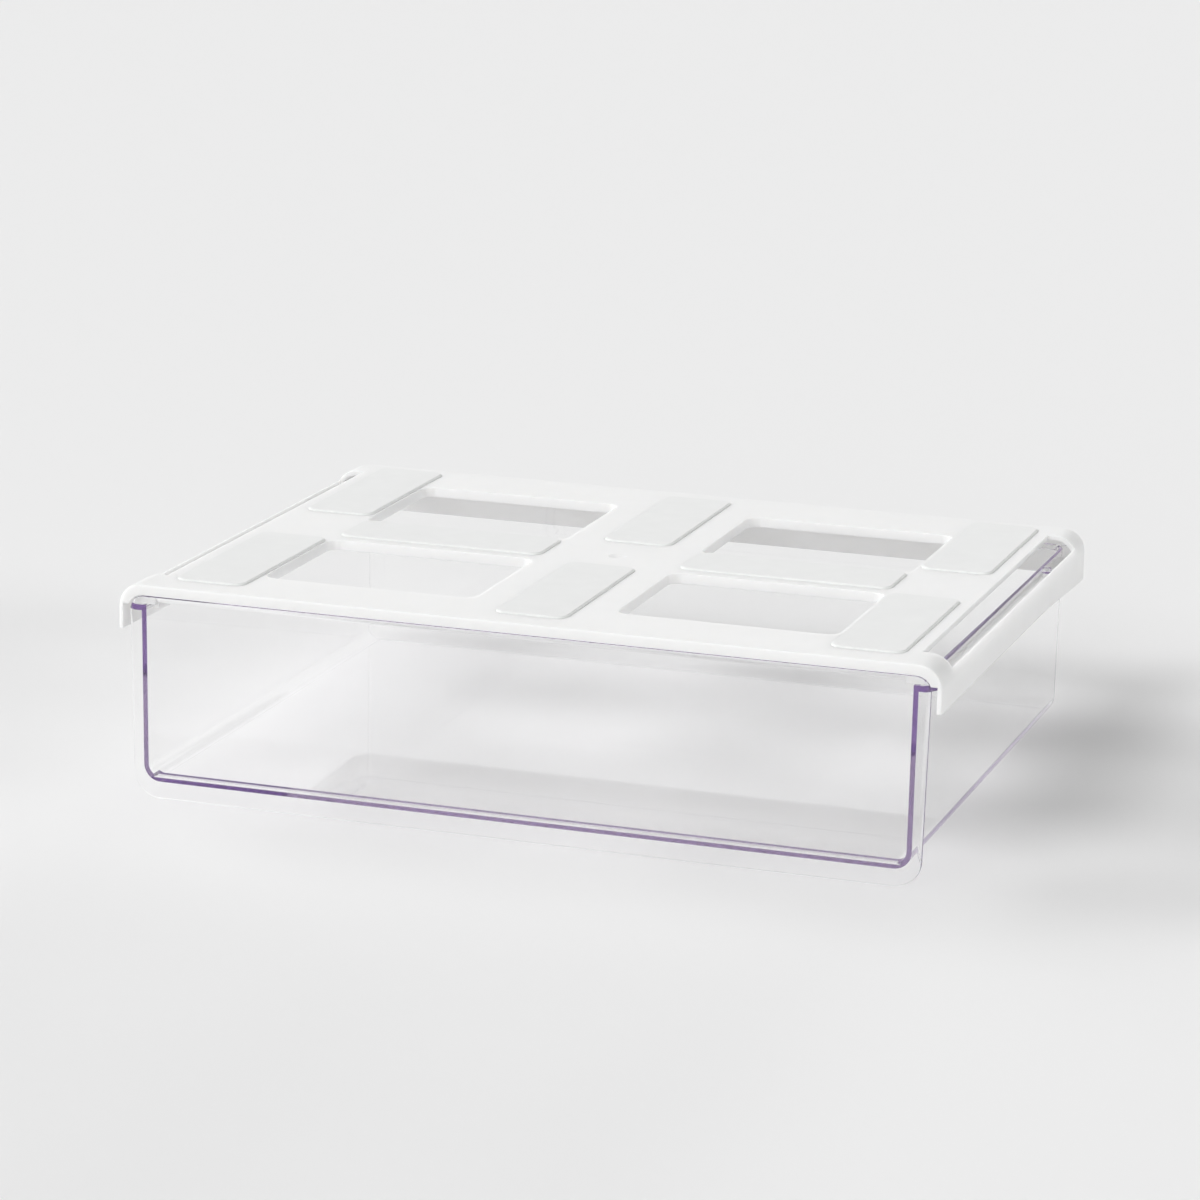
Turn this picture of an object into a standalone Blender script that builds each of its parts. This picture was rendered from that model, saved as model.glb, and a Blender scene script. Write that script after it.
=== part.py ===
"""Clear storage drawer in a white bracket that sticks under a shelf on eight adhesive pads.

Lengths are in metres. The front is -Y, the right is +X and up is +Z. The world origin is the middle of
the plane on which the liners' tops lie, where the underside of the shelf comes. The bracket and the
drawer are each modelled from the middle of the bracket's front top edge: X to the right, Y to the back,
and Z up, so a depth below the top of the plate is called a drop.
"""

import math

import bpy
import bmesh
from mathutils import Vector

# Adhesive pads and their release liners
PAD_LENGTH = 0.088
PAD_WIDTH = 0.0283
PAD_ROUND = 0.004
PAD_THICKNESS = 0.001
LINER_THICKNESS = 0.0002
SEAT_GAP = 0.0003

# Bracket: places of the pads and depth of their recesses
FRONT_PAD_MARGIN = 0.0133
BACK_PAD_MARGIN = 0.015
CENTRE_BACK_PAD_MARGIN = 0.0187
SIDE_PAD_MARGIN = 0.0192
PAD_SPACING = 0.0477
RECESS_DEPTH = 0.001
RECESS_CLEARANCE = 0.0004

# Bracket: windows, and how far they keep from the pads on the bars between them
FRONT_MARGIN = 0.030
BACK_MARGIN = 0.0408
OUTER_PAD_GAP = 0.002
CENTRE_PAD_GAP = 0.01535
CROSS_PAD_FRONT_GAP = 0.0074
CROSS_PAD_BACK_GAP = 0.0015
CROSS_PAD_INSET = 0.00125
WINDOW_ROUND = 0.0055
RIM_WALL = 0.002
RIM_REACH = 0.002

# Bracket: plate, skirts and front lip
SKIN = 0.0022
SKIRT = 0.0018
SIDE_DROP = 0.0187
BACK_DEEPENING = 0.0026
SLOPE_LENGTH = 0.066
SLOPE_BACK_MARGIN = 0.014
OUTER_ROUND = 0.0095
EDGE_ROUND = 0.0008
LIP_DEPTH = 0.0026
LIP_REACH = 0.0022
DIMPLE_RADIUS = 0.004
DIMPLE_DEPTH = 0.0008

# Bracket: slots in the top corners and the ledges under them
SLOT_START = 0.0188
SLOT_BACK_MARGIN = 0.0234
SLOT_WIDTH = 0.0117
SLOT_WALL = 0.0012
BRIDGE_REACH = 0.002
LEDGE_THICKNESS = 0.0022
LEDGE_CLEARANCE = 0.0009
LEDGE_LEAD = 0.001

# Drawer: shell and flanges
DRAWER_DROP = 0.0815
WALL = 0.002
FLOOR = 0.0022
SHELL_ROUND = 0.007
SHELL_DRAFT_SHARE = 0.0031
BACK_CLEARANCE = 0.0007
BACK_RIM = 0.0006
FLANGE_DROP = 0.0086
FLANGE_WIDTH = 0.007
FLANGE_THICKNESS = 0.0023
FLANGE_CLEARANCE = 0.0006
SLIDE_CLEARANCE = 0.0003

# Drawer: front panel and pull-out stops
PANEL_OVERHANG = 0.0072
PANEL_THICKNESS = 0.0024
PANEL_SIDE_GAP = 0.0025
PANEL_TOP_GAP = 0.0005
PANEL_BACK_GAP = 0.0008
PANEL_TOP_ROUND = 0.006
PANEL_BOTTOM_ROUND = 0.011
PANEL_DRAFT_SHARE = 0.0097
STOP_BACK_MARGIN = 0.0525
STOP_RADIUS = 0.002
STOP_HEIGHT = 0.0024

# Fineness of the rounded surfaces and overrun of the cuts
LARGE_ROUND_STEPS = 8
SMALL_ROUND_STEPS = 5
EDGE_STEPS = 2
STOP_SIDES = 20
DIMPLE_SIDES = 32
DIMPLE_RINGS = 24
SMOOTH_ANGLE = math.radians(35)
OVERRUN = 0.006

# Places that follow from the sizes
WINDOW_WIDTH = PAD_LENGTH + 2 * CROSS_PAD_INSET
MIDDLE_BAR = PAD_WIDTH + 2 * CENTRE_PAD_GAP
CROSS_BAR = PAD_WIDTH + CROSS_PAD_FRONT_GAP + CROSS_PAD_BACK_GAP
HALF_WIDTH = MIDDLE_BAR / 2 + WINDOW_WIDTH + OUTER_PAD_GAP + PAD_WIDTH + SIDE_PAD_MARGIN
BRACKET_DEPTH = FRONT_PAD_MARGIN + 2 * PAD_LENGTH + PAD_SPACING + BACK_PAD_MARGIN
WINDOW_DEPTH = (BRACKET_DEPTH - FRONT_MARGIN - CROSS_BAR - BACK_MARGIN) / 2
RIM_DROP = SKIN + RIM_REACH
LIP_DROP = SKIN + LIP_REACH
BACK_DROP = SIDE_DROP + BACK_DEEPENING
SLOPE_START = BRACKET_DEPTH - SLOPE_BACK_MARGIN - SLOPE_LENGTH
SLOT_BACK = BRACKET_DEPTH - SLOT_BACK_MARGIN
INNER_HALF_WIDTH = HALF_WIDTH - SKIRT
INNER_BACK = BRACKET_DEPTH - SKIRT
SLOT_OUTER = HALF_WIDTH - SLOT_WALL
SLOT_INNER = SLOT_OUTER - SLOT_WIDTH
BRIDGE_DROP = FLANGE_DROP - SLIDE_CLEARANCE
LEDGE_DROP = FLANGE_DROP + FLANGE_THICKNESS + SLIDE_CLEARANCE
FLANGE_HALF_WIDTH = INNER_HALF_WIDTH - FLANGE_CLEARANCE
SHELL_HALF_WIDTH = FLANGE_HALF_WIDTH - FLANGE_WIDTH
FLANGE_BACK = INNER_BACK - BACK_CLEARANCE
SHELL_BACK = FLANGE_BACK - BACK_RIM
STOP_PLACE = FLANGE_BACK - STOP_BACK_MARGIN
PANEL_DROP = DRAWER_DROP + PANEL_OVERHANG
PANEL_HALF_WIDTH = INNER_HALF_WIDTH - PANEL_SIDE_GAP
PANEL_TOP_DROP = LIP_DROP + PANEL_TOP_GAP
PAD_TOP = PAD_THICKNESS + SEAT_GAP - RECESS_DEPTH
LINER_TOP = PAD_TOP + SEAT_GAP + LINER_THICKNESS
FRONT_EDGE = Vector((0, -BRACKET_DEPTH / 2, -LINER_TOP))

# Edges of a box, each named by its side on X, Y and Z, with 0 for the axis that it runs along
UPRIGHT_EDGES = ((-1, -1, 0), (1, -1, 0), (1, 1, 0), (-1, 1, 0))
BACK_UPRIGHT_EDGES = ((-1, 1, 0), (1, 1, 0))
TRAY_TOP_EDGES = ((-1, 0, 1), (1, 0, 1), (0, 1, 1)) + BACK_UPRIGHT_EDGES
TRAY_BOTTOM_EDGES = ((-1, 0, -1), (1, 0, -1), (0, 1, -1)) + BACK_UPRIGHT_EDGES
TOP_CORNER_EDGES = ((-1, 0, 1), (1, 0, 1))
BOTTOM_CORNER_EDGES = ((-1, 0, -1), (1, 0, -1))

SIDES = {"left": -1, "right": 1}


def clear_scene():
    """Remove every object of the scene that the file opens with."""
    for obj in list(bpy.data.objects):
        bpy.data.objects.remove(obj)


def new_collection(name):
    """Add a collection to the scene."""
    collection = bpy.data.collections.new(name)
    bpy.context.scene.collection.children.link(collection)
    return collection


def plastic(name, colour, roughness):
    """Make a plastic of one colour and roughness, and return it with its shader."""
    material = bpy.data.materials.new(name)
    material.use_nodes = True
    shader = material.node_tree.nodes["Principled BSDF"]
    shader.inputs["Base Color"].default_value = (*colour, 1)
    shader.inputs["Roughness"].default_value = roughness
    shader.inputs["Metallic"].default_value = 0
    return material, shader


def white_plastic():
    """The bracket's white moulded plastic."""
    return plastic("white plastic", (0.86, 0.86, 0.85), 0.38)[0]


def clear_plastic():
    """The drawer's clear plastic, faintly violet where it is seen on edge."""
    material, shader = plastic("clear plastic", (0.93, 0.91, 0.96), 0.04)
    shader.inputs["Transmission Weight"].default_value = 1
    shader.inputs["IOR"].default_value = 1.58
    return material


def foam():
    """The pads' white adhesive foam."""
    return plastic("adhesive foam", (0.76, 0.77, 0.76), 0.75)[0]


def liner_film():
    """The smooth film over each pad."""
    return plastic("release liner", (0.80, 0.81, 0.80), 0.30)[0]


def add_box(bm, low, high):
    """Add a box between two opposite corners and return its vertices."""
    low = Vector(low)
    high = Vector(high)
    verts = bmesh.ops.create_cube(bm, size=1)["verts"]
    bmesh.ops.scale(bm, vec=high - low, verts=verts)
    bmesh.ops.translate(bm, vec=(low + high) / 2, verts=verts)
    return verts


def round_edges(bm, low, high, sides, radius, steps):
    """Round the edges at the named sides of the box that lies between two corners."""
    centre = (Vector(low) + Vector(high)) / 2
    half = (Vector(high) - Vector(low)) / 2
    edges = []
    for edge in bm.edges:
        middle = (edge.verts[0].co + edge.verts[1].co) / 2 - centre
        side = tuple(round(middle[axis] / half[axis], 3) for axis in range(3))
        if side in sides:
            edges.append(edge)
    bmesh.ops.bevel(
        bm,
        geom=edges,
        offset=radius,
        segments=steps,
        profile=0.5,
        affect="EDGES",
        clamp_overlap=True,
    )


def soften_front(bm, low_end):
    """Round the outer edge of the front face, at Y = 0, above the height where it ends."""
    edges = []
    for edge in bm.edges:
        on_front = all(abs(vert.co.y) < EDGE_ROUND / 2 for vert in edge.verts)
        above = max(vert.co.z for vert in edge.verts) > low_end
        if on_front and above:
            edges.append(edge)
    bmesh.ops.bevel(
        bm,
        geom=edges,
        offset=EDGE_ROUND,
        segments=EDGE_STEPS,
        profile=0.5,
        affect="EDGES",
        clamp_overlap=True,
    )


def draw_in(bm, width_share, depth_share, top_drop, bottom_drop):
    """Draw the shape in with its drop, by shares of its width and depth at the bottom."""
    for vert in bm.verts:
        drop_share = (-vert.co.z - top_drop) / (bottom_drop - top_drop)
        vert.co.x *= 1 - width_share * drop_share
        vert.co.y *= 1 - depth_share * drop_share


def add_object(name, bm, collection, parent=None):
    """Turn a finished shape into an object of a collection."""
    mesh = bpy.data.meshes.new(name)
    bmesh.ops.recalc_face_normals(bm, faces=bm.faces)
    bm.to_mesh(mesh)
    bm.free()
    mesh.shade_smooth()
    mesh.set_sharp_from_angle(angle=SMOOTH_ANGLE)
    obj = bpy.data.objects.new(name, mesh)
    collection.objects.link(obj)
    obj.parent = parent
    return obj


def rounded_boxes(places, sides, radius, steps):
    """Return one shape with a box for each pair of corners, all rounded alike."""
    bm = bmesh.new()
    for low, high in places:
        add_box(bm, low, high)
        round_edges(bm, low, high, sides, radius, steps)
    return bm


def plain_boxes(places):
    """Return one shape with a sharp box for each pair of corners."""
    bm = bmesh.new()
    for low, high in places:
        add_box(bm, low, high)
    return bm


def shape_with(target, operation, name, bm, cutters):
    """Join a shape to the target, or cut it out, with the shape kept as a hidden tool."""
    tool = add_object(name, bm, cutters, target)
    tool.hide_render = True
    tool.display_type = "WIRE"
    modifier = target.modifiers.new(name, "BOOLEAN")
    modifier.operation = operation
    modifier.solver = "EXACT"
    modifier.object = tool


def on_both_sides(inner, outer, front, back, bottom, top):
    """Corners of two boxes that mirror each other, from inner to outer on X."""
    return [
        ((-outer, front, bottom), (-inner, back, top)),
        ((inner, front, bottom), (outer, back, top)),
    ]


def window_places(margin, bottom, top):
    """Corners of the four windows, each grown outward by a margin."""
    places = []
    for side in SIDES.values():
        middle = side * (MIDDLE_BAR + WINDOW_WIDTH) / 2
        for front in (FRONT_MARGIN, FRONT_MARGIN + WINDOW_DEPTH + CROSS_BAR):
            low = (middle - WINDOW_WIDTH / 2 - margin, front - margin, bottom)
            high = (middle + WINDOW_WIDTH / 2 + margin, front + WINDOW_DEPTH + margin, top)
            places.append((low, high))
    return places


def pad_places():
    """Centre of each pad on the plate, and whether the pad lies across the bracket."""
    front = FRONT_PAD_MARGIN + PAD_LENGTH / 2
    back = BRACKET_DEPTH - BACK_PAD_MARGIN - PAD_LENGTH / 2
    centre_back = BRACKET_DEPTH - CENTRE_BACK_PAD_MARGIN - PAD_LENGTH / 2
    cross = FRONT_MARGIN + WINDOW_DEPTH + CROSS_PAD_FRONT_GAP + PAD_WIDTH / 2
    places = {
        "front_centre": (0, front, False),
        "rear_centre": (0, centre_back, False),
    }
    for name, side in SIDES.items():
        outer = side * (HALF_WIDTH - SIDE_PAD_MARGIN - PAD_WIDTH / 2)
        over_window = side * (MIDDLE_BAR + WINDOW_WIDTH) / 2
        places["front_" + name] = (outer, front, False)
        places["rear_" + name] = (outer, back, False)
        places["cross_" + name] = (over_window, cross, True)
    return places


def bracket_body():
    """The outside of the bracket: a plate with rounded sides and back, open to the front."""
    low = (-HALF_WIDTH, 0, -BACK_DROP)
    high = (HALF_WIDTH, BRACKET_DEPTH, 0)
    bm = rounded_boxes([(low, high)], TRAY_TOP_EDGES, OUTER_ROUND, LARGE_ROUND_STEPS)
    soften_front(bm, -BACK_DROP / 2)
    return bm


def hollow_middle():
    """The hollow under the plate, from the front lip to the back wall."""
    half_width = SLOT_INNER - BRIDGE_REACH
    low = (-half_width, LIP_DEPTH, -BACK_DROP - OVERRUN)
    high = (half_width, INNER_BACK - OUTER_ROUND, -SKIN)
    return plain_boxes([(low, high)])


def hollow_rails():
    """The full-width hollow behind the bridges in the front corners."""
    low = (-INNER_HALF_WIDTH, SLOT_START, -BACK_DROP - OVERRUN)
    high = (INNER_HALF_WIDTH, INNER_BACK, -SKIN)
    return rounded_boxes([(low, high)], TRAY_TOP_EDGES, OUTER_ROUND - SKIRT, LARGE_ROUND_STEPS)


def hollow_front():
    """The way for the drawer's flanges under the bridges and out at the front."""
    low = (-INNER_HALF_WIDTH, -OVERRUN, -BACK_DROP - OVERRUN)
    high = (INNER_HALF_WIDTH, SLOT_START + OVERRUN, -BRIDGE_DROP)
    return plain_boxes([(low, high)])


def panel_mouth():
    """The opening in the front lip in which the drawer's panel sits."""
    half_width = PANEL_HALF_WIDTH + PANEL_TOP_GAP
    low = (-half_width, -OVERRUN, -BACK_DROP - OVERRUN)
    high = (half_width, PANEL_THICKNESS + PANEL_BACK_GAP, -LIP_DROP)
    radius = PANEL_TOP_ROUND + PANEL_TOP_GAP
    return rounded_boxes([(low, high)], TOP_CORNER_EDGES, radius, SMALL_ROUND_STEPS)


def skirt_trim():
    """What is taken off under the side skirts, which deepen gently towards the back."""
    bottom = -BACK_DROP - OVERRUN
    low = (-HALF_WIDTH - OVERRUN, -OVERRUN, bottom)
    high = (HALF_WIDTH + OVERRUN, SLOPE_START, -SIDE_DROP)
    bm = bmesh.new()
    verts = add_box(bm, low, high)
    reach = SLOPE_LENGTH * (-SIDE_DROP - bottom) / BACK_DEEPENING
    for vert in verts:
        if vert.co.y > 0 and vert.co.z < -SIDE_DROP - OVERRUN / 2:
            vert.co.y += reach
    return bm


def slots():
    """The long slots in the top corners, over the ledges."""
    places = on_both_sides(SLOT_INNER, SLOT_OUTER, SLOT_START, SLOT_BACK, -FLANGE_DROP, OVERRUN)
    return plain_boxes(places)


def ledges():
    """The ledges that carry the drawer's flanges, one inside each side skirt."""
    inner = SHELL_HALF_WIDTH + LEDGE_CLEARANCE
    outer = HALF_WIDTH - SLOT_WALL / 2
    front = SLOT_START - LEDGE_LEAD
    back = SLOT_BACK + LEDGE_LEAD
    bottom = -LEDGE_DROP - LEDGE_THICKNESS
    return plain_boxes(on_both_sides(inner, outer, front, back, bottom, -LEDGE_DROP))


def window_rims():
    """The rims that turn down round the windows."""
    places = window_places(RIM_WALL, -RIM_DROP, -SKIN / 2)
    return rounded_boxes(places, UPRIGHT_EDGES, WINDOW_ROUND + RIM_WALL, SMALL_ROUND_STEPS)


def windows():
    """The four windows through the plate."""
    places = window_places(0, -RIM_DROP - OVERRUN, OVERRUN)
    return rounded_boxes(places, UPRIGHT_EDGES, WINDOW_ROUND, SMALL_ROUND_STEPS)


def pad_recesses():
    """The shallow seats for the pads."""
    places = []
    for x, y, across in pad_places().values():
        half_x = (PAD_LENGTH if across else PAD_WIDTH) / 2 + RECESS_CLEARANCE
        half_y = (PAD_WIDTH if across else PAD_LENGTH) / 2 + RECESS_CLEARANCE
        places.append(((x - half_x, y - half_y, -RECESS_DEPTH), (x + half_x, y + half_y, OVERRUN)))
    return rounded_boxes(places, UPRIGHT_EDGES, PAD_ROUND + RECESS_CLEARANCE, SMALL_ROUND_STEPS)


def moulding_dimple():
    """The shallow round dimple in the middle of the plate."""
    radius = (DIMPLE_RADIUS ** 2 + DIMPLE_DEPTH ** 2) / (2 * DIMPLE_DEPTH)
    middle = FRONT_MARGIN + WINDOW_DEPTH + CROSS_BAR / 2
    bm = bmesh.new()
    bmesh.ops.create_uvsphere(bm, u_segments=DIMPLE_SIDES, v_segments=DIMPLE_RINGS, radius=radius)
    bmesh.ops.translate(bm, vec=(0, middle, radius - DIMPLE_DEPTH), verts=bm.verts)
    return bm


def make_bracket(parts, cutters):
    """The white bracket, one moulding with the rails for the drawer."""
    bracket = add_object("mounting_bracket", bracket_body(), parts)
    bracket.location = FRONT_EDGE
    shape_with(bracket, "DIFFERENCE", "hollow middle", hollow_middle(), cutters)
    shape_with(bracket, "DIFFERENCE", "hollow rails", hollow_rails(), cutters)
    shape_with(bracket, "DIFFERENCE", "hollow front", hollow_front(), cutters)
    shape_with(bracket, "DIFFERENCE", "panel mouth", panel_mouth(), cutters)
    shape_with(bracket, "DIFFERENCE", "skirt trim", skirt_trim(), cutters)
    shape_with(bracket, "DIFFERENCE", "slots", slots(), cutters)
    shape_with(bracket, "UNION", "ledges", ledges(), cutters)
    shape_with(bracket, "UNION", "window rims", window_rims(), cutters)
    shape_with(bracket, "DIFFERENCE", "windows", windows(), cutters)
    shape_with(bracket, "DIFFERENCE", "pad recesses", pad_recesses(), cutters)
    shape_with(bracket, "DIFFERENCE", "moulding dimple", moulding_dimple(), cutters)
    bracket.data.materials.append(white_plastic())


def strip_mesh(name, thickness, material):
    """A flat strip with rounded corners, as long and wide as a pad, standing on Z = 0."""
    low = (-PAD_WIDTH / 2, -PAD_LENGTH / 2, 0)
    high = (PAD_WIDTH / 2, PAD_LENGTH / 2, thickness)
    bm = rounded_boxes([(low, high)], UPRIGHT_EDGES, PAD_ROUND, SMALL_ROUND_STEPS)
    mesh = bpy.data.meshes.new(name)
    bm.to_mesh(mesh)
    bm.free()
    mesh.materials.append(material)
    return mesh


def place_strips(kind, mesh, height, parts):
    """Lay one strip over each pad's place, with its underside at a height over the plate."""
    for place, (x, y, across) in pad_places().items():
        strip = bpy.data.objects.new(kind + "_" + place, mesh)
        strip.location = FRONT_EDGE + Vector((x, y, height))
        strip.rotation_euler.z = math.pi / 2 if across else 0
        parts.objects.link(strip)


def make_pads(parts):
    """The eight adhesive pads in their recesses."""
    place_strips("pad", strip_mesh("pad", PAD_THICKNESS, foam()), PAD_TOP - PAD_THICKNESS, parts)


def make_liners(parts):
    """The release liner on each pad."""
    mesh = strip_mesh("liner", LINER_THICKNESS, liner_film())
    place_strips("liner", mesh, LINER_TOP - LINER_THICKNESS, parts)


def drawer_shell():
    """The outside of the drawer's tray, drawn in slightly towards the floor."""
    low = (-SHELL_HALF_WIDTH, PANEL_THICKNESS / 2, -DRAWER_DROP)
    high = (SHELL_HALF_WIDTH, SHELL_BACK, -FLANGE_DROP - FLANGE_THICKNESS / 2)
    bm = rounded_boxes([(low, high)], TRAY_BOTTOM_EDGES, SHELL_ROUND, LARGE_ROUND_STEPS)
    draw_in(bm, SHELL_DRAFT_SHARE, SHELL_DRAFT_SHARE, FLANGE_DROP, DRAWER_DROP)
    return bm


def drawer_panel():
    """The front panel, which stands out past the tray at the sides and below it."""
    low = (-PANEL_HALF_WIDTH, 0, -PANEL_DROP)
    high = (PANEL_HALF_WIDTH, PANEL_THICKNESS, -PANEL_TOP_DROP)
    bm = rounded_boxes([(low, high)], BOTTOM_CORNER_EDGES, PANEL_BOTTOM_ROUND, LARGE_ROUND_STEPS)
    round_edges(bm, low, high, TOP_CORNER_EDGES, PANEL_TOP_ROUND, SMALL_ROUND_STEPS)
    soften_front(bm, -PANEL_DROP - OVERRUN)
    draw_in(bm, PANEL_DRAFT_SHARE, 0, PANEL_TOP_DROP, PANEL_DROP)
    return bm


def drawer_flanges():
    """The plate whose outer strips become the flanges once the tray is hollowed."""
    low = (-FLANGE_HALF_WIDTH, PANEL_THICKNESS / 2, -FLANGE_DROP - FLANGE_THICKNESS)
    high = (FLANGE_HALF_WIDTH, FLANGE_BACK, -FLANGE_DROP)
    radius = OUTER_ROUND - SKIRT - FLANGE_CLEARANCE
    return rounded_boxes([(low, high)], UPRIGHT_EDGES, radius, SMALL_ROUND_STEPS)


def drawer_hollow():
    """The inside of the tray."""
    low = (WALL - SHELL_HALF_WIDTH, -OVERRUN, FLOOR - DRAWER_DROP)
    high = (SHELL_HALF_WIDTH - WALL, SHELL_BACK - WALL, OVERRUN)
    bm = rounded_boxes([(low, high)], TRAY_BOTTOM_EDGES, SHELL_ROUND - WALL, SMALL_ROUND_STEPS)
    draw_in(bm, SHELL_DRAFT_SHARE, SHELL_DRAFT_SHARE, FLANGE_DROP, DRAWER_DROP)
    return bm


def pull_out_stops():
    """The nubs on the flanges that meet the ends of the slots when the drawer is out."""
    foot = FLANGE_THICKNESS / 2
    bm = bmesh.new()
    for side in SIDES.values():
        nub = bmesh.ops.create_cone(
            bm,
            cap_ends=True,
            segments=STOP_SIDES,
            radius1=STOP_RADIUS,
            radius2=STOP_RADIUS,
            depth=STOP_HEIGHT + foot,
        )
        x = side * (FLANGE_HALF_WIDTH - FLANGE_WIDTH / 2)
        place = (x, STOP_PLACE, -FLANGE_DROP + (STOP_HEIGHT - foot) / 2)
        bmesh.ops.translate(bm, vec=place, verts=nub["verts"])
    return bm


def make_drawer(parts, cutters):
    """The clear drawer, one moulding that slides forward out of the bracket."""
    slide = bpy.data.objects.new("drawer_slide", None)
    slide.location = FRONT_EDGE
    parts.objects.link(slide)
    drawer = add_object("drawer", drawer_shell(), parts, slide)
    shape_with(drawer, "UNION", "drawer flanges", drawer_flanges(), cutters)
    shape_with(drawer, "DIFFERENCE", "drawer hollow", drawer_hollow(), cutters)
    shape_with(drawer, "UNION", "front panel", drawer_panel(), cutters)
    shape_with(drawer, "UNION", "pull-out stops", pull_out_stops(), cutters)
    drawer.data.materials.append(clear_plastic())


def main():
    """Build the bracket with its pads and liners, and the drawer."""
    clear_scene()
    parts = new_collection("adhesive storage drawer")
    cutters = new_collection("cutters")
    make_bracket(parts, cutters)
    make_pads(parts)
    make_liners(parts)
    make_drawer(parts, cutters)


main()
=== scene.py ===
"""A clear drawer in a white bracket with adhesive pads, standing on a pale floor in soft studio light."""

import bpy, bmesh, math
from mathutils import Matrix, Vector


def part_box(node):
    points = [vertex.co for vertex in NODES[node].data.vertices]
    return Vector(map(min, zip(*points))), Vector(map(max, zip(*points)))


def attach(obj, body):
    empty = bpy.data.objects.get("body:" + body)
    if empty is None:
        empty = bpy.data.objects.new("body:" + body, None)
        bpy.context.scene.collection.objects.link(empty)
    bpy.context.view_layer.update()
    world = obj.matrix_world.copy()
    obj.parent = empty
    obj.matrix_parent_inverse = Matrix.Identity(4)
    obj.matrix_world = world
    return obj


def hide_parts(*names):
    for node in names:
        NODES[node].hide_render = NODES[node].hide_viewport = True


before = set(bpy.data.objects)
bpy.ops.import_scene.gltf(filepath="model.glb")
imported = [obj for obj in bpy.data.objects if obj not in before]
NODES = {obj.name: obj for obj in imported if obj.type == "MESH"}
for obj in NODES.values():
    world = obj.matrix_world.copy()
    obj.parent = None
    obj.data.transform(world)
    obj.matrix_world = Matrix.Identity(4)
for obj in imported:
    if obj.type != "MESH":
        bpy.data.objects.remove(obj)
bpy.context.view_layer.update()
scene = bpy.context.scene
WHITE = (1, 1, 1)


# ---------------------------------------------------------------- node helpers
def new_material(name):
    """An empty material and its node tree."""
    mat = bpy.data.materials.new(name)
    mat.use_nodes = True
    mat.node_tree.nodes.clear()
    return mat, mat.node_tree


def wire(tree, out, into):
    tree.links.new(out, into)


def add(tree, kind, **values):
    """A node with its inputs set by name, where _ stands for a space."""
    node = tree.nodes.new(kind)
    for key, value in values.items():
        node.inputs[key.replace("_", " ")].default_value = value
    return node


def maths(tree, operation, *values):
    """The result of a Math node on sockets and numbers."""
    node = tree.nodes.new("ShaderNodeMath")
    node.operation = operation
    for socket, value in zip(node.inputs, values):
        if isinstance(value, (int, float)):
            socket.default_value = value
        else:
            wire(tree, value, socket)
    return node.outputs[0]


def place(tree):
    """Coordinates in the shared frame, in metres."""
    return tree.nodes.new("ShaderNodeTexCoord").outputs["Object"]


def noise(tree, coords, scale, detail, roughness=0.5):
    node = add(tree, "ShaderNodeTexNoise", Scale=scale, Detail=detail, Roughness=roughness)
    wire(tree, coords, node.inputs["Vector"])
    return node.outputs["Fac"]


def spread(tree, value, low, high, start=0.3, end=0.7):
    """A value from start..end stretched to low..high. A noise mostly stays within 0.3 and 0.7."""
    node = add(tree, "ShaderNodeMapRange", From_Min=start, From_Max=end, To_Min=low, To_Max=high)
    wire(tree, value, node.inputs["Value"])
    return node.outputs["Result"]


def mix_colour(tree, factor, low, high):
    """A colour between low, which is a colour or a socket, and high."""
    node = tree.nodes.new("ShaderNodeMix")
    node.data_type = "RGBA"
    wire(tree, factor, node.inputs["Factor"])
    if isinstance(low, tuple):
        node.inputs["A"].default_value = (*low, 1)
    else:
        wire(tree, low, node.inputs["A"])
    node.inputs["B"].default_value = (*high, 1)
    return node.outputs["Result"]


def mix_shader(tree, factor, first, second):
    node = tree.nodes.new("ShaderNodeMixShader")
    for socket, out in zip(node.inputs, (factor, first, second)):
        wire(tree, out, socket)
    return node.outputs[0]


def bump(tree, height, strength, distance, normal=None):
    node = add(tree, "ShaderNodeBump", Strength=strength, Distance=distance)
    wire(tree, height, node.inputs["Height"])
    if normal is not None:
        wire(tree, normal, node.inputs["Normal"])
    return node.outputs["Normal"]


def turned_away(tree, normal):
    """How far a normal turns from the face's own, from 0 on flats to 0.3 on an edge."""
    own = tree.nodes.new("ShaderNodeNewGeometry").outputs["True Normal"]
    dot = tree.nodes.new("ShaderNodeVectorMath")
    dot.operation = "DOT_PRODUCT"
    wire(tree, own, dot.inputs[0])
    wire(tree, normal, dot.inputs[1])
    return maths(tree, "SUBTRACT", 1, dot.outputs["Value"])


def finish_material(tree, surface, volume=None):
    out = tree.nodes.new("ShaderNodeOutputMaterial")
    wire(tree, surface, out.inputs["Surface"])
    if volume is not None:
        wire(tree, volume, out.inputs["Volume"])


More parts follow.
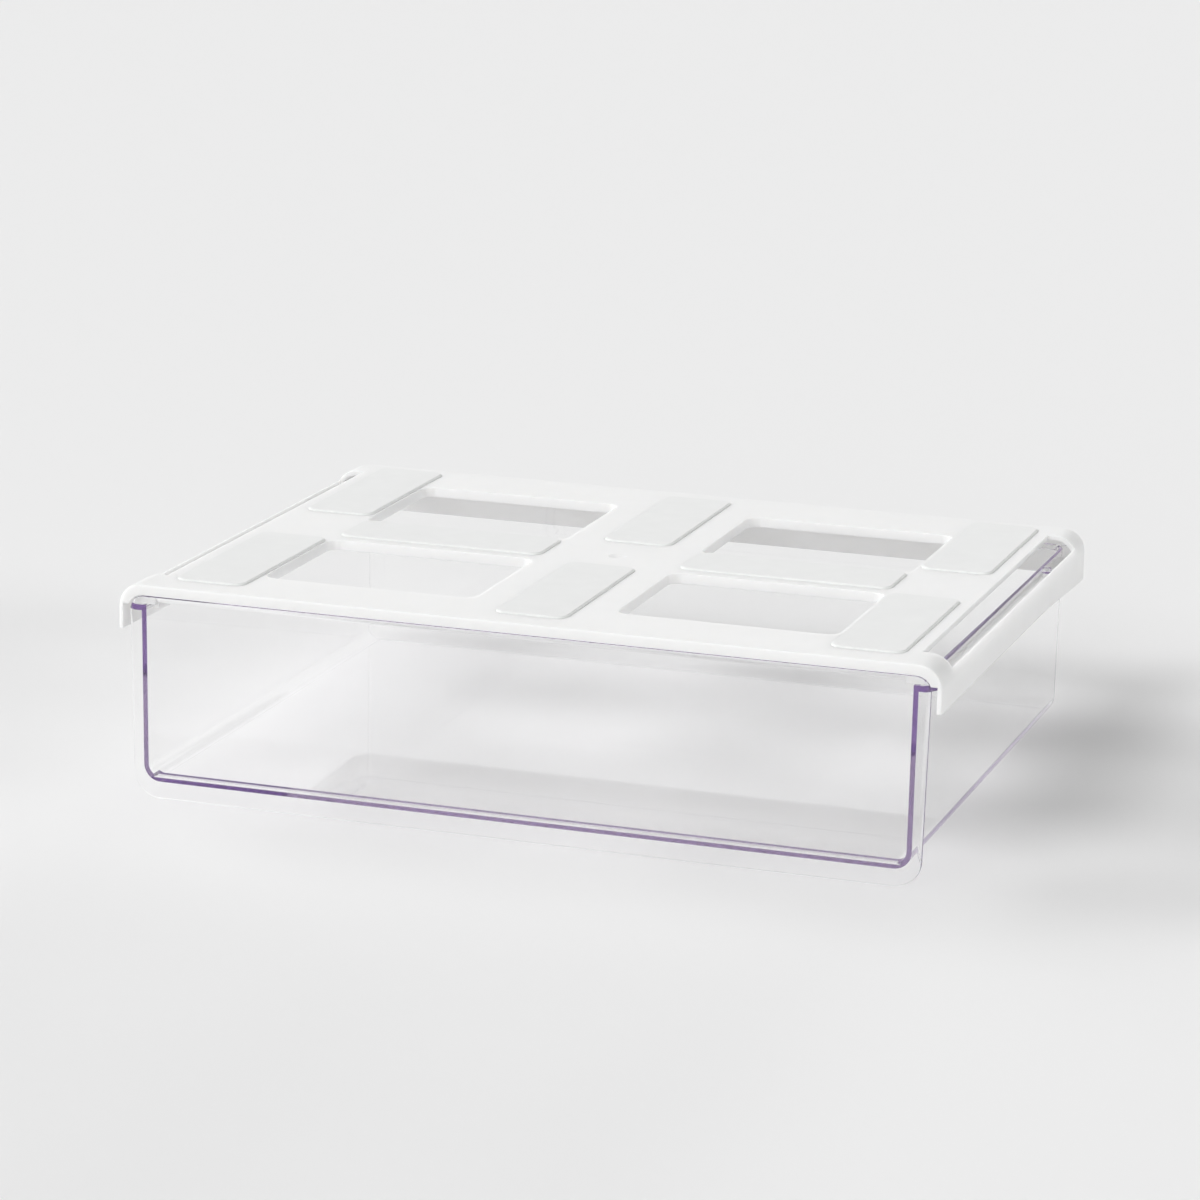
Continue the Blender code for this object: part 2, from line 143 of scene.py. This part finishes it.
# ---------------------------------------------------------------- materials
def white_plastic():
    """Satin white moulding: faint flow marks, a fine eroded texture, and edges rubbed a little smoother."""
    mat, t = new_material("white_plastic_moulded")
    at = place(t)
    flow = noise(t, at, scale=22, detail=3)
    grain = noise(t, at, scale=2600, detail=2, roughness=0.6)
    soft_edge = add(t, "ShaderNodeBevel", Radius=0.0004)
    soft_edge.samples = 6
    soft_normal = soft_edge.outputs["Normal"]
    rubbed = spread(t, turned_away(t, soft_normal), 0, 1, start=0.01, end=0.2)
    p = add(t, "ShaderNodeBsdfPrincipled", IOR=1.47, Specular_IOR_Level=0.4,
            Subsurface_Weight=1, Subsurface_Radius=(1.0, 0.98, 0.95), Subsurface_Scale=0.0035)
    body = mix_colour(t, spread(t, flow, 0, 1), (0.790, 0.792, 0.788), (0.802, 0.804, 0.800))
    wire(t, mix_colour(t, rubbed, body, (0.809, 0.811, 0.807)), p.inputs["Base Color"])
    satin = spread(t, noise(t, at, scale=90, detail=4), 0.34, 0.46)
    smoother = -0.08
    wire(t, maths(t, "MULTIPLY_ADD", rubbed, smoother, satin), p.inputs["Roughness"])
    wire(t, bump(t, grain, strength=0.1, distance=0.00004, normal=soft_normal), p.inputs["Normal"])
    finish_material(t, p.outputs[0])
    return mat


def clear_plastic():
    """Clear moulding with a violet cast that shows where light runs along a wall.

    A ray that leaves a matt surface passes it straight, and so does a lamp's light,
    less what an upright wall reflects."""
    mat, t = new_material("clear_plastic_violet")
    at = place(t)
    p = add(t, "ShaderNodeBsdfPrincipled", Base_Color=(0.998, 1, 0.997, 1), IOR=1.57, Transmission_Weight=1)
    wire(t, spread(t, noise(t, at, scale=60, detail=3), 0, 0.035), p.inputs["Roughness"])
    wire(t, bump(t, noise(t, at, scale=18, detail=1), strength=0.02, distance=0.0004), p.inputs["Normal"])
    faces = t.nodes.new("ShaderNodeSeparateXYZ")
    wire(t, t.nodes.new("ShaderNodeNewGeometry").outputs["True Normal"], faces.inputs[0])
    level = spread(t, maths(t, "ABSOLUTE", faces.outputs["Z"]), 0, 1)
    shaded = t.nodes.new("ShaderNodeBsdfTransparent")
    wire(t, mix_colour(t, level, (0.96, 0.96, 0.96), WHITE), shaded.inputs["Color"])
    open_air = t.nodes.new("ShaderNodeBsdfTransparent")
    path = t.nodes.new("ShaderNodeLightPath").outputs
    glass = mix_shader(t, path["Is Diffuse Ray"], p.outputs[0], open_air.outputs[0])
    surface = mix_shader(t, path["Is Shadow Ray"], glass, shaded.outputs[0])
    inside = add(t, "ShaderNodeVolumeAbsorption", Color=(0.63, 0.49, 0.75, 1), Density=5.8)
    finish_material(t, surface, inside.outputs[0])
    return mat


def foam():
    """White foam tape with fine open cells."""
    mat, t = new_material("adhesive_foam_tape")
    at = place(t)
    cells = add(t, "ShaderNodeTexVoronoi", Scale=3200)
    wire(t, at, cells.inputs["Vector"])
    p = add(t, "ShaderNodeBsdfPrincipled", Roughness=0.85)
    patches = spread(t, noise(t, at, scale=400, detail=3), 0, 1)
    wire(t, mix_colour(t, patches, (0.80, 0.81, 0.80), (0.86, 0.87, 0.86)), p.inputs["Base Color"])
    wire(t, bump(t, cells.outputs["Distance"], strength=0.5, distance=0.0001), p.inputs["Normal"])
    finish_material(t, p.outputs[0])
    return mat


def film():
    """Matt white release film, slightly uneven."""
    mat, t = new_material("release_film_matte")
    at = place(t)
    p = t.nodes.new("ShaderNodeBsdfPrincipled")
    patches = spread(t, noise(t, at, scale=60, detail=4), 0, 1)
    wire(t, mix_colour(t, patches, (0.770, 0.775, 0.770), (0.785, 0.790, 0.785)), p.inputs["Base Color"])
    wire(t, spread(t, noise(t, at, scale=130, detail=4), 0.45, 0.6), p.inputs["Roughness"])
    wire(t, bump(t, noise(t, at, scale=900, detail=3), strength=0.12, distance=0.00005), p.inputs["Normal"])
    finish_material(t, p.outputs[0])
    return mat


# ---------------------------------------------------------------- CAD nodes
SAME_POINT = 2e-6
SHARP_FROM = math.radians(32)


def smooth_rounds(obj):
    """Joins the facets and shades curved faces as one, with sharp edges kept."""
    obj.modifiers.new("join", "WELD").merge_threshold = SAME_POINT
    tree = bpy.data.node_groups.new("smooth_rounds", "GeometryNodeTree")
    for direction in ("INPUT", "OUTPUT"):
        tree.interface.new_socket("Geometry", in_out=direction, socket_type="NodeSocketGeometry")
    start, end = tree.nodes.new("NodeGroupInput"), tree.nodes.new("NodeGroupOutput")
    forget = add(tree, "GeometryNodeRemoveAttribute", Name="custom_normal")
    angle = tree.nodes.new("GeometryNodeInputMeshEdgeAngle")
    gentle = tree.nodes.new("FunctionNodeCompare")
    gentle.data_type, gentle.operation = "FLOAT", "LESS_EQUAL"
    gentle.inputs["B"].default_value = SHARP_FROM
    wire(tree, angle.outputs["Unsigned Angle"], gentle.inputs["A"])
    faces, edges = (tree.nodes.new("GeometryNodeSetShadeSmooth") for _ in range(2))
    faces.domain, edges.domain = "FACE", "EDGE"
    wire(tree, start.outputs[0], forget.inputs[0])
    wire(tree, forget.outputs[0], faces.inputs["Geometry"])
    wire(tree, faces.outputs[0], edges.inputs["Geometry"])
    wire(tree, gentle.outputs[0], edges.inputs["Shade Smooth"])
    wire(tree, edges.outputs[0], end.inputs[0])
    obj.modifiers.new("shade", "NODES").node_group = tree
    flat = obj.modifiers.new("keep_flats", "WEIGHTED_NORMAL")
    flat.keep_sharp, flat.weight = True, 100


FINISHES = {"mounting_bracket": white_plastic(), "drawer": clear_plastic()}
tape, liner = foam(), film()
for name, obj in NODES.items():
    finish = FINISHES.get(name) or (tape if name.startswith("pad_") else liner)
    for material_slot in obj.material_slots:
        material_slot.material = finish
    smooth_rounds(obj)


# ---------------------------------------------------------------- solids
# An edge of a box is known by the sides it lies on: x, y and z as -1, 0 or 1.
LOW_SIDES = ((-1, 0, -1), (1, 0, -1))
TOP_SIDES = ((-1, 0, 1), (1, 0, 1))
LOW_FRONT, LOW_BACK = ((0, -1, -1),), ((0, 1, -1),)
FRONT_UPRIGHTS = ((-1, -1, 0), (1, -1, 0))
BACK_UPRIGHTS = ((-1, 1, 0), (1, 1, 0))
UPRIGHTS = FRONT_UPRIGHTS + BACK_UPRIGHTS


def bevel(bm, edges, radius, steps, clamp=True):
    bmesh.ops.bevel(bm, geom=edges, offset=radius, segments=steps, profile=0.5,
                    affect="EDGES", clamp_overlap=clamp)


def rounded_box(low, high, *rounds):
    """A box between two corners; each of rounds gives edges, their radius and the steps of the round."""
    bm = bmesh.new()
    low, high = Vector(low), Vector(high)
    corners = bmesh.ops.create_cube(bm, size=1)["verts"]
    bmesh.ops.scale(bm, vec=high - low, verts=corners)
    bmesh.ops.translate(bm, vec=(low + high) / 2, verts=corners)
    for wanted, radius, steps in rounds:
        chosen = []
        for edge in bm.edges:
            middle = ((edge.verts[0].co + edge.verts[1].co) - (low + high)) / 2
            sides = tuple(round(2 * middle[i] / (high - low)[i], 3) for i in range(3))
            if sides in wanted:
                chosen.append(edge)
        bevel(bm, chosen, radius, steps)
    return bm


def round_face(bm, axis, level, radius, steps):
    """Rounds the outline of the flat face at a level of an axis."""
    rim = [e for e in bm.edges if all(abs(getattr(v.co, axis) - level) < 1e-6 for v in e.verts)]
    bevel(bm, rim, radius, steps)


def draw_in(bm, wide_share, deep_share, top, drop):
    """The mould's draft: narrower by a share of the width and of the depth at the bottom."""
    for v in bm.verts:
        down = (-v.co.z - top) / (drop - top)
        v.co.x *= 1 - wide_share * down
        v.co.y *= 1 - deep_share * down


def as_object(bm, name):
    mesh = bpy.data.meshes.new(name)
    bmesh.ops.recalc_face_normals(bm, faces=bm.faces)
    bm.to_mesh(mesh)
    bm.free()
    obj = bpy.data.objects.new(name, mesh)
    scene.collection.objects.link(obj)
    return obj


# ---------------------------------------------------------------- clear drawer
# The drawer's outline in the CAD, from the middle of the bracket's front top edge, in metres.
FRONT_EDGE = Vector((0, -0.126, -0.0008))
SHELL = {"half": 0.1601, "back": 0.2489, "drop": 0.0815, "wall": 0.002, "floor": 0.0022, "round": 0.007}
FLANGE = {"half": 0.1671, "back": 0.2495, "drop": 0.0086, "thick": 0.0023, "round": 0.0071, "edge": 0.0004}
PANEL = {"half": 0.1652, "thick": 0.0024, "top": 0.0049, "drop": 0.0887, "top_round": 0.006,
         "low_round": 0.011, "front_edge": 0.0018, "back_edge": 0.0005}
STOP = {"x": 0.1636, "y": 0.197, "radius": 0.002, "height": 0.0024, "dome": 0.001, "sides": 28}
GUTTER = {"half": 0.1555, "wide": 0.0055, "deep": 0.0007, "front_round": 0.0006, "back_round": 0.0003}
RIM_ROUND = 0.0018
FRONT_CORNER_ROUND = 0.0006
TRAY_DRAFT_SHARE, PANEL_DRAFT_SHARE = 0.0031, 0.0097
HOLLOW_TOP = 0.006
GUTTER_OVERRUN = 0.001
NEAR = 0.0001
SQUARE_TURN = 1.0


def tray_shell():
    s, f = SHELL, FLANGE
    bm = rounded_box((-s["half"], PANEL["thick"] / 2, -s["drop"]),
                     (s["half"], s["back"], -f["drop"] - f["thick"] / 2),
                     (LOW_SIDES + LOW_BACK + BACK_UPRIGHTS, s["round"], 10))
    draw_in(bm, TRAY_DRAFT_SHARE, TRAY_DRAFT_SHARE, f["drop"], s["drop"])
    return bm


def tray_flanges():
    f = FLANGE
    bm = rounded_box((-f["half"], PANEL["thick"] / 2, -f["drop"] - f["thick"]),
                     (f["half"], f["back"], -f["drop"]), (UPRIGHTS, f["round"], 8))
    for level in (-f["drop"], -f["drop"] - f["thick"]):
        round_face(bm, "z", level, f["edge"], 3)
    return bm


def front_panel():
    p = PANEL
    bm = rounded_box((-p["half"], 0, -p["drop"]), (p["half"], p["thick"], -p["top"]),
                     (LOW_SIDES, p["low_round"], 12), (TOP_SIDES, p["top_round"], 8))
    round_face(bm, "y", 0, p["front_edge"], 6)
    round_face(bm, "y", p["thick"], p["back_edge"], 4)
    draw_in(bm, PANEL_DRAFT_SHARE, 0, p["top"], p["drop"])
    return bm


def tray_hollow():
    s = SHELL
    inner = s["half"] - s["wall"]
    bm = rounded_box((-inner, PANEL["thick"], s["floor"] - s["drop"]),
                     (inner, s["back"] - s["wall"], HOLLOW_TOP),
                     (LOW_SIDES + LOW_BACK + BACK_UPRIGHTS, s["round"] - s["wall"], 8),
                     (FRONT_UPRIGHTS, FRONT_CORNER_ROUND, 4))
    draw_in(bm, TRAY_DRAFT_SHARE, TRAY_DRAFT_SHARE, FLANGE["drop"], s["drop"])
    return bm


def foot_gutter():
    """The shallow gutter in the tray's floor along the panel's foot."""
    g, floor_level = GUTTER, SHELL["floor"] - SHELL["drop"]
    return rounded_box((-g["half"], PANEL["thick"], floor_level - g["deep"]),
                       (g["half"], PANEL["thick"] + g["wide"], floor_level + GUTTER_OVERRUN),
                       (LOW_FRONT, g["front_round"], 5), (LOW_BACK, g["back_round"], 3))


def domed_stop(side):
    """The nub on a flange that meets the end of the bracket's slot."""
    bm = bmesh.new()
    foot = FLANGE["thick"] / 2
    bmesh.ops.create_cone(bm, cap_ends=True, segments=STOP["sides"], radius1=STOP["radius"],
                          radius2=STOP["radius"], depth=STOP["height"] + foot)
    bevel(bm, [e for e in bm.edges if all(v.co.z > 0 for v in e.verts)], STOP["dome"], 5)
    middle = (side * STOP["x"], STOP["y"], -FLANGE["drop"] + (STOP["height"] - foot) / 2)
    bmesh.ops.translate(bm, vec=middle, verts=bm.verts)
    return bm


def round_rim(bm):
    """Rounds the tray's inner edge at the level of the flanges' tops."""
    level, side = -FLANGE["drop"], SHELL["half"] - SHELL["wall"] + NEAR
    back = SHELL["back"] - SHELL["wall"] + NEAR
    on_rim = {v for v in bm.verts if abs(v.co.z - level) < 1e-5 and abs(v.co.x) < side and v.co.y < back}
    rim = [e for e in bm.edges if on_rim.issuperset(e.verts) and e.calc_face_angle(0) > SQUARE_TURN]
    bevel(bm, rim, RIM_ROUND, 4, clamp=False)


def clear_drawer():
    """Tray, flanges, panel and stops as one closed moulding with its edges rounded as a mould leaves them."""
    whole = as_object(tray_shell(), "drawer_moulding")
    steps = [("UNION", tray_flanges()), ("UNION", front_panel()), ("DIFFERENCE", tray_hollow()),
             ("DIFFERENCE", foot_gutter()), ("UNION", domed_stop(-1)), ("UNION", domed_stop(1))]
    tools = []
    for number, (operation, bm) in enumerate(steps):
        tools.append(as_object(bm, f"tool_{number}"))
        cut = whole.modifiers.new(f"step_{number}", "BOOLEAN")
        cut.operation, cut.solver, cut.object = operation, "EXACT", tools[-1]
    bpy.context.view_layer.update()
    evaluated = whole.evaluated_get(bpy.context.evaluated_depsgraph_get())
    mesh = bpy.data.meshes.new_from_object(evaluated)
    whole.modifiers.clear()
    whole.data = mesh
    for obj in tools:
        bpy.data.objects.remove(obj)
    bm = bmesh.new()
    bm.from_mesh(mesh)
    bmesh.ops.remove_doubles(bm, verts=bm.verts, dist=SAME_POINT)
    bmesh.ops.dissolve_limit(bm, angle_limit=math.radians(0.5), verts=bm.verts, edges=bm.edges)
    round_rim(bm)
    bm.to_mesh(mesh)
    bm.free()
    mesh.transform(Matrix.Translation(FRONT_EDGE))
    return whole


moulding = clear_drawer()
moulding.data.materials.clear()
moulding.data.materials.append(FINISHES["drawer"])
smooth_rounds(moulding)
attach(moulding, "drawer")
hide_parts("drawer")


# ---------------------------------------------------------------- pads and liners
STRIP_CORNER = 0.004
RECESS_FLOOR, LINER_UNDERSIDE, LINER_TOP = -0.0018, -0.0002, 0.0
TAPE = {"spread": 0.0009, "edge": 0.0006}
FILM = {"spread": 0.0002, "edge": 0.00015}


def strip(name, node, low, high, size, finish):
    """A die-cut strip on the place of a pad or liner, with its upper edge slightly rounded."""
    near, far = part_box(node)
    wider = size["spread"]
    bm = rounded_box((near[0] - wider, near[1] - wider, low), (far[0] + wider, far[1] + wider, high),
                     (UPRIGHTS, STRIP_CORNER + wider, 8))
    round_face(bm, "z", high, size["edge"], 3)
    piece = as_object(bm, name)
    piece.data.materials.append(finish)
    smooth_rounds(piece)
    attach(piece, "bracket")
    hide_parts(node)


for node in [n for n in NODES if n.startswith("pad_")]:
    strip(node.replace("pad_", "tape_"), node, RECESS_FLOOR, LINER_UNDERSIDE, TAPE, tape)
for node in [n for n in NODES if n.startswith("liner_")]:
    strip(node.replace("liner_", "film_"), node, LINER_UNDERSIDE, LINER_TOP, FILM, liner)


# ---------------------------------------------------------------- floor
# The object stands on the panel's foot and the back of the tray, so the floor rises a little to the back.
PANEL_FOOT, TRAY_FOOT = (-0.126, -0.0895), (0.119, -0.0823)
FLOOR_REACH, FLOOR_GAP = 30.0, 0.0001
FLOOR_GREY = 0.839
rise = math.atan2(TRAY_FOOT[1] - PANEL_FOOT[1], TRAY_FOOT[0] - PANEL_FOOT[0])
mesh = bpy.data.meshes.new("floor")
square = ((-1, -1), (1, -1), (1, 1), (-1, 1))
mesh.from_pydata([(x * FLOOR_REACH, y * FLOOR_REACH, 0) for x, y in square], [], [(0, 1, 2, 3)])
floor = bpy.data.objects.new("floor", mesh)
scene.collection.objects.link(floor)
foot = Matrix.Translation((0, PANEL_FOOT[0], PANEL_FOOT[1] - FLOOR_GAP))
floor.matrix_world = foot @ Matrix.Rotation(rise, 4, "X")
paper, t = new_material("floor_paper")
finish_material(t, add(t, "ShaderNodeBsdfDiffuse", Color=(FLOOR_GREY,) * 3 + (1,)).outputs[0])
mesh.materials.append(paper)


# ---------------------------------------------------------------- light
# The world is white where the camera, a reflection or the glass sees it, and lights nothing.
world = bpy.data.worlds.new("studio")
scene.world = world
world.use_nodes = True
t = world.node_tree
t.nodes.clear()
path = t.nodes.new("ShaderNodeLightPath").outputs
seen = maths(t, "MAXIMUM", path["Is Camera Ray"], path["Is Glossy Ray"])
seen = maths(t, "MAXIMUM", seen, path["Is Transmission Ray"])
lit = add(t, "ShaderNodeBackground", Color=(*WHITE, 1), Strength=0)
shown = add(t, "ShaderNodeBackground", Color=(*WHITE, 1))
out = t.nodes.new("ShaderNodeOutputWorld")
wire(t, mix_shader(t, seen, lit.outputs[0], shown.outputs[0]), out.inputs["Surface"])

# A soft box is named by where it stands: degrees round from the front (90 is the right side), degrees up,
# degrees across, and its share of the light on the floor. The shares add up to 1.
SOFT_BOXES = {
    "front_left": (330, 45, 24, 0.212),
    "left": (270, 30, 24, 0.183),
    "front_left_low": (330, 30, 24, 0.149),
    "right_low": (90, 16, 24, 0.095),
    "left_back": (240, 45, 24, 0.095),
    "back_level": (180, 8, 14, 0.083),
    "front_low": (0, 16, 24, 0.055),
    "left_back_low": (240, 30, 24, 0.048),
    "left_front": (300, 30, 24, 0.035),
    "back": (180, 65, 24, 0.026),
    "right_level": (90, 8, 14, 0.010),
    "overhead": (0, 88, 24, 0.009),
}
BOX_DISTANCE = 3

for name, (around, up, across, share) in SOFT_BOXES.items():
    a, e = math.radians(around), math.radians(up)
    source = Vector((math.sin(a) * math.cos(e), -math.cos(a) * math.cos(e), math.sin(e)))
    lamp = bpy.data.lights.new(name, "SUN")
    lamp.angle = math.radians(across)
    lamp.energy = share * math.pi / source.z
    box = bpy.data.objects.new(name, lamp)
    scene.collection.objects.link(box)
    box.rotation_euler = (-source).to_track_quat("-Z", "Y").to_euler()
    box.location = source * BOX_DISTANCE
    box.visible_glossy = False
    box.visible_transmission = False


# ---------------------------------------------------------------- camera
# Fitted to the object's straight edges and corners in the photograph.
CAMERA_AT = (0.53897, -1.62243, 0.40913)
RIGHT = Vector((0.94584865, 0.32414203, 0.01738637))
DOWN = Vector((0.09505406, -0.22535938, -0.96962770))
AHEAD = Vector((-0.31037891, 0.91877369, -0.24396688))
FOCAL_PIXELS, PHOTO_PIXELS = 4245.32, 1200
SENSOR = 36
camera = bpy.data.objects.new("camera", bpy.data.cameras.new("camera"))
scene.collection.objects.link(camera)
turn = Matrix((RIGHT, -DOWN, -AHEAD)).transposed()
camera.matrix_world = Matrix.Translation(CAMERA_AT) @ turn.to_4x4()
camera.data.sensor_width = SENSOR
camera.data.lens = FOCAL_PIXELS / PHOTO_PIXELS * SENSOR
camera.data.clip_start, camera.data.clip_end = 0.05, 200
scene.camera = camera

scene.view_settings.view_transform = "Standard"
# Light runs along the clear walls by many inner reflections.
scene.cycles.max_bounces = 200
scene.cycles.glossy_bounces = 180
scene.cycles.transmission_bounces = 64
scene.cycles.transparent_max_bounces = 32

bpy.context.view_layer.update()
